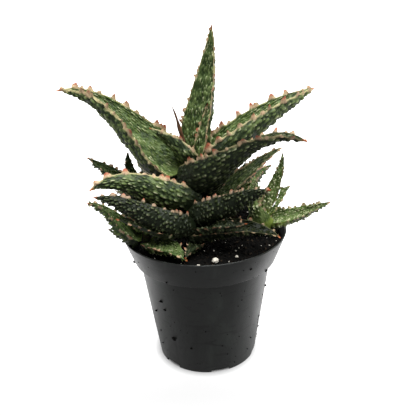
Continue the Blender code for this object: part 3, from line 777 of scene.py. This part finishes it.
def make_soil(mix):
    """The mix fills the pot up to its crumbly surface: rings from the floor up the wall, then inwards.

    It gives back the radius of the surface's edge."""
    body_top = POT_HEIGHT - BAND_HEIGHT
    floor_top = CHANNEL_RISE + WALL + GAP
    slope = (BODY_TOP_RADIUS - FOOT_RADIUS) / body_top
    band_slope = (RIM_RADIUS - BAND_FOOT_RADIUS) / BAND_HEIGHT
    inner = BAND_FOOT_RADIUS - WALL - 2 * GAP
    edge = inner + band_slope * (SOIL_TOP - body_top - WALL)
    radii = [FOOT_RADIUS - WALL - GAP + slope * floor_top, BODY_TOP_RADIUS - WALL - GAP, inner, edge]
    heights = [floor_top, body_top + GAP, body_top + WALL + GAP, SOIL_TOP - 1.5 * MM]
    angle = np.arange(SOIL_SECTORS) * 2 * math.pi / SOIL_SECTORS
    rings = np.concatenate([radii, edge * np.linspace(1, 0.01, SOIL_RINGS)])[:, None]
    x, y = rings * np.cos(angle), rings * np.sin(angle)
    z = crumbly_height(x, y)
    z[:4] = np.array(heights)[:, None]
    middle = (0, 0, crumbly_height(np.zeros(1), np.zeros(1))[0])
    points, faces = closed(np.stack([x, y, z], axis=-1), (0, 0, floor_top), middle)
    dress(new_mesh("potting_mix", points, faces), mix, "potting_mix", "soil", sharp=180)
    return edge


def lumps(places, sizes, rng, flat=0.75):
    """Points and triangles of rough stones with 20 faces each, all in one mesh.

    Each is an icosahedron whose corners are drawn in or out, stretched by its sizes and turned at random."""
    shape = bmesh.new()
    bmesh.ops.create_icosphere(shape, subdivisions=1, radius=1)
    shape.verts.ensure_lookup_table()
    ball = np.array([v.co for v in shape.verts])
    sides = np.array([[v.index for v in f.verts] for f in shape.faces])
    shape.free()
    count = len(places)
    turns = np.linalg.qr(rng.normal(size=(count, 3, 3)))[0]
    rough = ball[None] * rng.uniform(0.7, 1.15, (count, len(ball), 1)) * sizes[:, None]
    rough = np.einsum("nij,nkj->nki", turns, rough) * np.array([1, 1, flat])
    points = (rough + places[:, None]).reshape(-1, 3)
    faces = (sides[None] + np.arange(count)[:, None, None] * len(ball)).reshape(-1, 3)
    return points, faces


def scattered(count, edge, rng):
    """Places on the soil, drawn evenly over the disc inside the pot's wall."""
    radius = (edge - 1.5 * MM) * np.sqrt(rng.random(count))
    angle = rng.uniform(0, 2 * math.pi, count)
    return radius * np.cos(angle), radius * np.sin(angle)


def make_crumbs(mix, crumb, stone, edge):
    """Loose crumbs and bark fibres on the soil, perlite specks among them, and mix stuck to the pot's wall.

    Squared sizes make most crumbs small. Specks on the wall stand at the profile's radius at their height."""
    rng = np.random.default_rng(BITS_SEED)
    x, y = scattered(CRUMBS, edge, rng)
    size = rng.uniform(0.35, 1.0, CRUMBS) ** 2 * 1.4 * MM
    sizes = size[:, None] * rng.uniform(0.6, 1.3, (CRUMBS, 3))
    sizes[:FIBRES] *= np.array(FIBRE_SHAPE)
    places = np.stack([x, y, crumbly_height(x, y) + 0.25 * size], axis=1)
    dress(new_mesh("soil_crumbs", *lumps(places, sizes, rng)), crumb, "potting_mix")
    x, y = scattered(PERLITE_SPECKS, edge, rng)
    size = rng.uniform(0.2, 0.6, PERLITE_SPECKS) * MM
    places = np.stack([x, y, crumbly_height(x, y) + 0.35 * size], axis=1)
    sizes = size[:, None] * rng.uniform(0.7, 1.4, (PERLITE_SPECKS, 3))
    dress(new_mesh("perlite_specks", *lumps(places, sizes, rng)), stone, "perlite")
    turn = np.append(np.radians(LARGE_SPECKS[:, 0]), rng.uniform(0, 2 * math.pi, WALL_SPECKS))
    height = np.append(LARGE_SPECKS[:, 1], rng.uniform(4, 86, WALL_SPECKS)) * MM
    size = np.append(LARGE_SPECKS[:, 2] * 0.7, rng.uniform(0.2, 0.65, WALL_SPECKS)) * MM
    heights = [0, POT_HEIGHT - BAND_HEIGHT - STEP_HEIGHT, POT_HEIGHT - BAND_HEIGHT, POT_HEIGHT]
    radius = np.interp(height, heights, [FOOT_RADIUS, BODY_TOP_RADIUS, BAND_FOOT_RADIUS, RIM_RADIUS])
    places = np.stack([radius * np.cos(turn), radius * np.sin(turn), height], axis=1)
    sizes = size[:, None] * rng.uniform(0.5, 1.2, (len(size), 3))
    dress(new_mesh("wall_specks", *lumps(places, sizes, rng)), mix, "potting_mix")


def make_grains(stone):
    """The three larger perlite grains: balls drawn in and out by bumps, stretched to fill their nodes' boxes.

    Tilt from the pole and turn round the axis are the two parameters."""
    for number, name in enumerate(("perlite_large", "perlite_small", "perlite_side")):
        low, high = (np.array(corner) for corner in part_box(name))
        rng = np.random.default_rng(GRAIN_SEED + number)
        tilt = np.linspace(0, math.pi, GRAIN_RINGS + 2)[1:-1, None]
        turn = np.arange(GRAIN_SIDES)[None] * 2 * math.pi / GRAIN_SIDES
        out = np.sin(tilt)
        way = np.stack([out * np.cos(turn), out * np.sin(turn), np.cos(tilt) + 0 * turn], axis=-1)
        rough = 0.82 + 0.14 * bumps(turn * 4, tilt * 4, 1.9, 1.6, (2.4, 2.0), rng, 0.2)[0]
        rough = rough + 0.04 * np.sin(3 * turn + 5 * tilt)
        middle, half = (low + high) / 2, (high - low) / 2
        grid = middle + way * rough[..., None] * half
        ends = [middle + np.array([0, 0, end]) * GRAIN_POLE * half for end in (1, -1)]
        dress(new_mesh(name + "_grain", *closed(grid, *ends)), stone, "perlite", name)


# Materials

def linear(code):
    """A colour's linear values, from its sRGB hex code."""
    parts = [int(code[i:i + 2], 16) / 255 for i in (1, 3, 5)]
    return (*[p / 12.92 if p <= 0.04045 else ((p + 0.055) / 1.055) ** 2.4 for p in parts], 1.0)


def give(tree, node, inputs):
    """Set a node's inputs. Each one is a value, or the output that feeds it."""
    for name, value in inputs.items():
        if isinstance(value, bpy.types.NodeSocket):
            tree.links.new(value, node.inputs[name])
        else:
            node.inputs[name].default_value = value


def add(tree, kind, inputs=None, **settings):
    """Add a shader node with its inputs and settings."""
    made = tree.nodes.new("ShaderNode" + kind)
    for name, value in settings.items():
        setattr(made, name, value)
    give(tree, made, inputs or {})
    return made


def new_finish(name, roughness, ior=1.5, specular=0.5):
    """A material with its node tree and its Principled shader."""
    made = bpy.data.materials.new(name)
    made.use_nodes = True
    shader = made.node_tree.nodes["Principled BSDF"]
    steady = {"Roughness": roughness, "IOR": ior, "Specular IOR Level": specular, "Metallic": 0.0}
    give(made.node_tree, shader, steady)
    return made, made.node_tree, shader


def layered(tree, colour, layers):
    """The colour with each layer's colour laid over it.

    A layer is its value, a low and a high value, the most that it covers, and its colour's code. It covers
    nothing at the low value and its most at the high one."""
    for value, low, high, most, code in layers:
        rise = {"Value": value, "From Min": low, "From Max": high, "To Max": most}
        factor = add(tree, "MapRange", rise, interpolation_type="SMOOTHSTEP").outputs["Result"]
        colour = add(tree, "Mix", {0: factor, 6: colour, 7: linear(code)}, data_type="RGBA").outputs[2]
    return colour


def leaf_flesh():
    """Succulent leaf skin: living, waxy cuticle over green flesh.

    It gives a soft broad sheen, dark green outside and olive in the channel, with lengthwise streaks, pale
    raised tubercles, a straw-coloured horny rim, and teeth that redden from a cream foot to their points.
    Painted shade darkens whole leaves that lie under others, and the outer face towards the root."""
    made, tree, shader = new_finish("waxy_aloe_skin", 0.46, 1.45, 0.3)
    mark = {label: add(tree, "Attribute", attribute_name=label).outputs["Fac"] for label in LEAF_MARKS}
    grain = add(tree, "Attribute", attribute_name="grain").outputs["Vector"]
    place = add(tree, "TexCoord").outputs["Object"]
    # Streaks are about 0.7 mm wide and 8 mm long, blotches 5 mm across, and the finest grain 0.7 mm
    stretched = add(tree, "Mapping", {"Vector": grain, "Scale": (120, 1400, 1)}).outputs["Vector"]
    streak = add(tree, "TexNoise", {"Vector": stretched, "Scale": 1.0, "Detail": 3.0}).outputs["Fac"]
    blotch = add(tree, "TexNoise", {"Vector": place, "Scale": 200.0, "Detail": 3.0}).outputs["Fac"]
    fine = add(tree, "TexNoise", {"Vector": place, "Scale": 1500.0, "Detail": 3.0}).outputs["Fac"]
    broken = add(tree, "Math", {0: mark["pale"], 1: fine}, operation="ADD").outputs["Value"]
    colour = layered(tree, linear("#2d3c20"), [
        (mark["channel"], 0.0, 1.0, 1.0, "#465b2c"),
        (mark["young"], 0.0, 1.0, 0.5, "#3d5724"),
        (streak, 0.53, 0.34, 0.85, "#15200c"),
        (streak, 0.52, 0.7, 0.6, "#6b7d50"),
        (blotch, 0.52, 0.66, 0.5, "#16220e"),
        (blotch, 0.52, 0.36, 0.6, "#748550"),
        (mark["collar"], 0.0, 1.0, 0.8, "#93a84a"),
        # Painted shade over leaves that lie under others, laid before the tubercles so that they stay paler
        (mark["shade"], 0.0, 1.2, 0.95, "#0a1206"),
        (mark["wart"], 0.1, 0.6, 0.5, "#7b8f4f"),
        (broken, 0.68, 1.05, 0.85, "#c9cba4"),
        # Painted shade on the outer face towards the root
        (mark["painted_base_shade"], 0.0, 1.0, 0.85, "#12190c"),
        (mark["rim"], 0.2, 0.9, 0.75, "#cbbf8c"),
        # Painted shade again, over the rims
        (mark["shade"], 0.0, 1.2, 0.8, "#131b0b"),
        (mark["flesh"], 0.1, 0.8, 0.7, "#c9a98a"),
        (mark["point"], 0.4, 0.95, 0.85, "#b95c42"),
        (mark["share"], 0.94, 0.99, 0.9, "#c2683c"),
        (fine, 0.55, 0.68, 0.6, "#18220e"),
    ])
    rough = add(tree, "MapRange", {"Value": fine, "To Min": 0.4, "To Max": 0.6}).outputs["Result"]
    relief = add(tree, "Math", {0: fine, 1: streak}, operation="ADD").outputs["Value"]
    bump = add(tree, "Bump", {"Height": relief, "Distance": 0.35 * MM, "Strength": 0.7}).outputs["Normal"]
    give(tree, shader, {"Base Color": colour, "Roughness": rough, "Normal": bump})
    return made


def dry_leaf():
    """Withered leaf: dead, papery tissue, wrinkled lengthwise. It gives a matt brown, darker in the folds."""
    made, tree, shader = new_finish("withered_leaf", 0.75)
    grain = add(tree, "Attribute", attribute_name="grain").outputs["Vector"]
    share = add(tree, "Attribute", attribute_name="share").outputs["Fac"]
    # Wrinkles are about 0.5 mm apart
    stretched = add(tree, "Mapping", {"Vector": grain, "Scale": (150, 2000, 1)}).outputs["Vector"]
    streak = add(tree, "TexNoise", {"Vector": stretched, "Scale": 1.0, "Detail": 4.0}).outputs["Fac"]
    colour = layered(tree, linear("#5c3b29"), [
        (streak, 0.45, 0.7, 0.8, "#8e6240"),
        (streak, 0.45, 0.3, 0.7, "#38241a"),
        (share, 0.7, 0.98, 0.5, "#7a5232"),
    ])
    bump = add(tree, "Bump", {"Height": streak, "Distance": 0.6 * MM, "Strength": 0.8}).outputs["Normal"]
    give(tree, shader, {"Base Color": colour, "Normal": bump})
    return made


def stem_bark():
    """Young corky stem: green skin that turns brown. It gives a dull surface, blotched olive and brown."""
    made, tree, shader = new_finish("corky_stem", 0.7)
    place = add(tree, "TexCoord").outputs["Object"]
    # Blotches are about 2.5 mm across
    blotch = add(tree, "TexNoise", {"Vector": place, "Scale": 400.0, "Detail": 4.0}).outputs["Fac"]
    colour = layered(tree, linear("#37421f"), [(blotch, 0.42, 0.6, 0.9, "#3d2f1e")])
    bump = add(tree, "Bump", {"Height": blotch, "Distance": 0.4 * MM, "Strength": 0.6}).outputs["Normal"]
    give(tree, shader, {"Base Color": colour, "Normal": bump})
    return made


def pot_plastic():
    """Polypropylene, thermoformed, black.

    It gives a satin charcoal with a fine grain, dusty in upright streaks, darker where it was wet and where
    mix has smudged it."""
    made, tree, shader = new_finish("black_polypropylene", 0.34, 1.49)
    place = add(tree, "TexCoord").outputs["Object"]
    # Streaks are about 17 mm across and 45 mm tall; smudges lean, about 13 mm long and 5 mm tall
    tall = add(tree, "Mapping", {"Vector": place, "Scale": (60, 60, 22)}).outputs["Vector"]
    streaky = {"Vector": tall, "Scale": 1.0, "Detail": 5.0, "Distortion": 0.6}
    smear = add(tree, "TexNoise", streaky).outputs["Fac"]
    leaning = {"Vector": place, "Rotation": (0, 0.35, 0), "Scale": (75, 75, 210)}
    wide = add(tree, "Mapping", leaning).outputs["Vector"]
    patchy = {"Vector": wide, "Scale": 1.0, "Detail": 3.0, "Distortion": 1.2}
    smudge = add(tree, "TexNoise", patchy).outputs["Fac"]
    # The mould's grain is about 0.4 mm across
    fine = add(tree, "TexNoise", {"Vector": place, "Scale": 2500.0, "Detail": 2.0}).outputs["Fac"]
    colour = layered(tree, linear("#151816"), [
        (smear, 0.5, 0.72, 0.7, "#2b302c"),
        (smear, 0.45, 0.32, 0.7, "#090a09"),
        (smudge, 0.59, 0.66, 0.8, "#040504"),
    ])
    dusty = {"Value": smear, "From Min": 0.3, "From Max": 0.7, "To Min": 0.28, "To Max": 0.44}
    rough = add(tree, "MapRange", dusty).outputs["Result"]
    bump = add(tree, "Bump", {"Height": fine, "Distance": 0.08 * MM, "Strength": 0.5}).outputs["Normal"]
    give(tree, shader, {"Base Color": colour, "Roughness": rough, "Normal": bump})
    return made


def damp_mix(name, dark, light):
    """Damp potting mix: peat and bark fines. It gives a near-black, rough crumb with a few browner bits."""
    made, tree, shader = new_finish(name, 0.85, specular=0.1)
    place = add(tree, "TexCoord").outputs["Object"]
    # Clumps are about 2 mm across, and crumbs 0.4 mm
    clump = add(tree, "TexNoise", {"Vector": place, "Scale": 500.0, "Detail": 4.0}).outputs["Fac"]
    fine = add(tree, "TexNoise", {"Vector": place, "Scale": 2600.0, "Detail": 3.0}).outputs["Fac"]
    colour = layered(tree, linear(dark), [(clump, 0.52, 0.72, 0.9, light)])
    bump = add(tree, "Bump", {"Height": fine, "Distance": 0.5 * MM, "Strength": 0.8}).outputs["Normal"]
    give(tree, shader, {"Base Color": colour, "Normal": bump})
    return made


def perlite_stone():
    """Expanded perlite: volcanic glass puffed by heat. It gives a chalky white, pitted and stained by mix."""
    made, tree, shader = new_finish("expanded_perlite", 0.85)
    place = add(tree, "TexCoord").outputs["Object"]
    # Stains are about 1.4 mm across, and pits 0.4 mm
    stain = add(tree, "TexNoise", {"Vector": place, "Scale": 700.0, "Detail": 4.0}).outputs["Fac"]
    pits = add(tree, "TexVoronoi", {"Vector": place, "Scale": 2500.0}).outputs["Distance"]
    colour = layered(tree, linear("#dcd6c8"), [(stain, 0.5, 0.75, 0.6, "#8b8272")])
    bump = add(tree, "Bump", {"Height": pits, "Distance": 0.4 * MM, "Strength": 0.7}).outputs["Normal"]
    give(tree, shader, {"Base Color": colour, "Normal": bump})
    return made


# Stage

def make_floor():
    """A plain pale floor. It shows white to the camera, by its own glow, which ends at the pot's foot.

    As a source of light it is dark in front of the plant and pale behind it."""
    made, tree, shader = new_finish("pale_floor", 0.9)
    place = add(tree, "TexCoord").outputs["Object"]
    ahead = add(tree, "SeparateXYZ", {0: place}).outputs["Y"]
    lit = layered(tree, linear("#737373"), [(ahead, -0.06, 0.03, 1.0, "#dddddd")])
    seen = add(tree, "LightPath").outputs["Is Camera Ray"]
    away = add(tree, "VectorMath", {0: place}, operation="LENGTH").outputs["Value"]
    fade = {"Value": away, "From Min": GLOW_FROM, "From Max": GLOW_FULL, "To Max": GLOW}
    glow = add(tree, "MapRange", fade).outputs["Result"]
    shown = add(tree, "Math", {0: seen, 1: glow}, operation="MULTIPLY").outputs["Value"]
    give(tree, shader, {"Base Color": lit, "Emission Color": linear("#ffffff"), "Emission Strength": shown})
    mesh = bpy.data.meshes.new("floor")
    corners = [(x * FLOOR_REACH, y * FLOOR_REACH, 0) for x, y in ((-1, -1), (1, -1), (1, 1), (-1, 1))]
    mesh.from_pydata(corners, [], [(0, 1, 2, 3)])
    mesh.materials.append(made)
    floor = bpy.data.objects.new("floor", mesh)
    bpy.context.scene.collection.objects.link(floor)


def make_room():
    """A white room that gives little light from in front of the plant and much from behind it.

    So the gaps among the leaves stay dark and the pot's sides shine, as in the photograph."""
    world = bpy.data.worlds.new("pale_room")
    world.use_nodes = True
    tree = world.node_tree
    seen = add(tree, "LightPath").outputs["Is Camera Ray"]
    way = add(tree, "SeparateXYZ", {0: add(tree, "TexCoord").outputs["Generated"]}).outputs["Y"]
    behind = {"Value": way, "From Min": -0.1, "From Max": 0.6, "To Min": 0.08, "To Max": 1.1}
    lit = add(tree, "MapRange", behind).outputs["Result"]
    strength = add(tree, "Math", {0: lit, 1: seen}, operation="MAXIMUM").outputs["Value"]
    give(tree, tree.nodes["Background"], {"Color": linear("#ffffff"), "Strength": strength})
    bpy.context.scene.world = world
    bpy.context.scene.view_settings.view_transform = "Standard"


def make_lamp():
    """One broad soft light from above, a little in front and to the right."""
    lamp = bpy.data.lights.new("overhead", "SUN")
    lamp.energy = LAMP_STRENGTH
    lamp.angle = math.radians(LAMP_BREADTH)
    made = bpy.data.objects.new("overhead", lamp)
    made.rotation_euler = [math.radians(lean) for lean in LAMP_LEANS]
    bpy.context.scene.collection.objects.link(made)


def make_camera():
    """The photograph's view: from the front and a little above, with its slight lean."""
    elevation = math.radians(VIEW_ELEVATION)
    lean = math.radians(VIEW_LEAN)
    lens = bpy.data.cameras.new("camera")
    lens.lens = lens.sensor_width * FOCAL_PIXELS / FRAME_PIXELS
    camera = bpy.data.objects.new("camera", lens)
    back = Vector((0, -math.cos(elevation), math.sin(elevation)))
    right = Vector((1, 0, 0))
    turned = Matrix((right, back.cross(right), back)).transposed() @ Matrix.Rotation(-lean, 3, "Z")
    camera.matrix_world = Matrix.Translation(Vector(VIEW_AIM) + back * VIEW_DISTANCE) @ turned.to_4x4()
    bpy.context.scene.collection.objects.link(camera)
    bpy.context.scene.camera = camera


def main():
    make_floor()
    make_room()
    make_lamp()
    make_camera()
    stone = perlite_stone()
    make_pot(pot_plastic())
    mix = damp_mix("damp_potting_mix", "#040403", "#171310")
    edge = make_soil(mix)
    make_crumbs(mix, damp_mix("peat_crumbs", "#0b0907", "#44382c"), stone, edge)
    make_grains(stone)
    make_leaves(leaf_flesh(), dry_leaf(), make_stems(stem_bark()))


main()
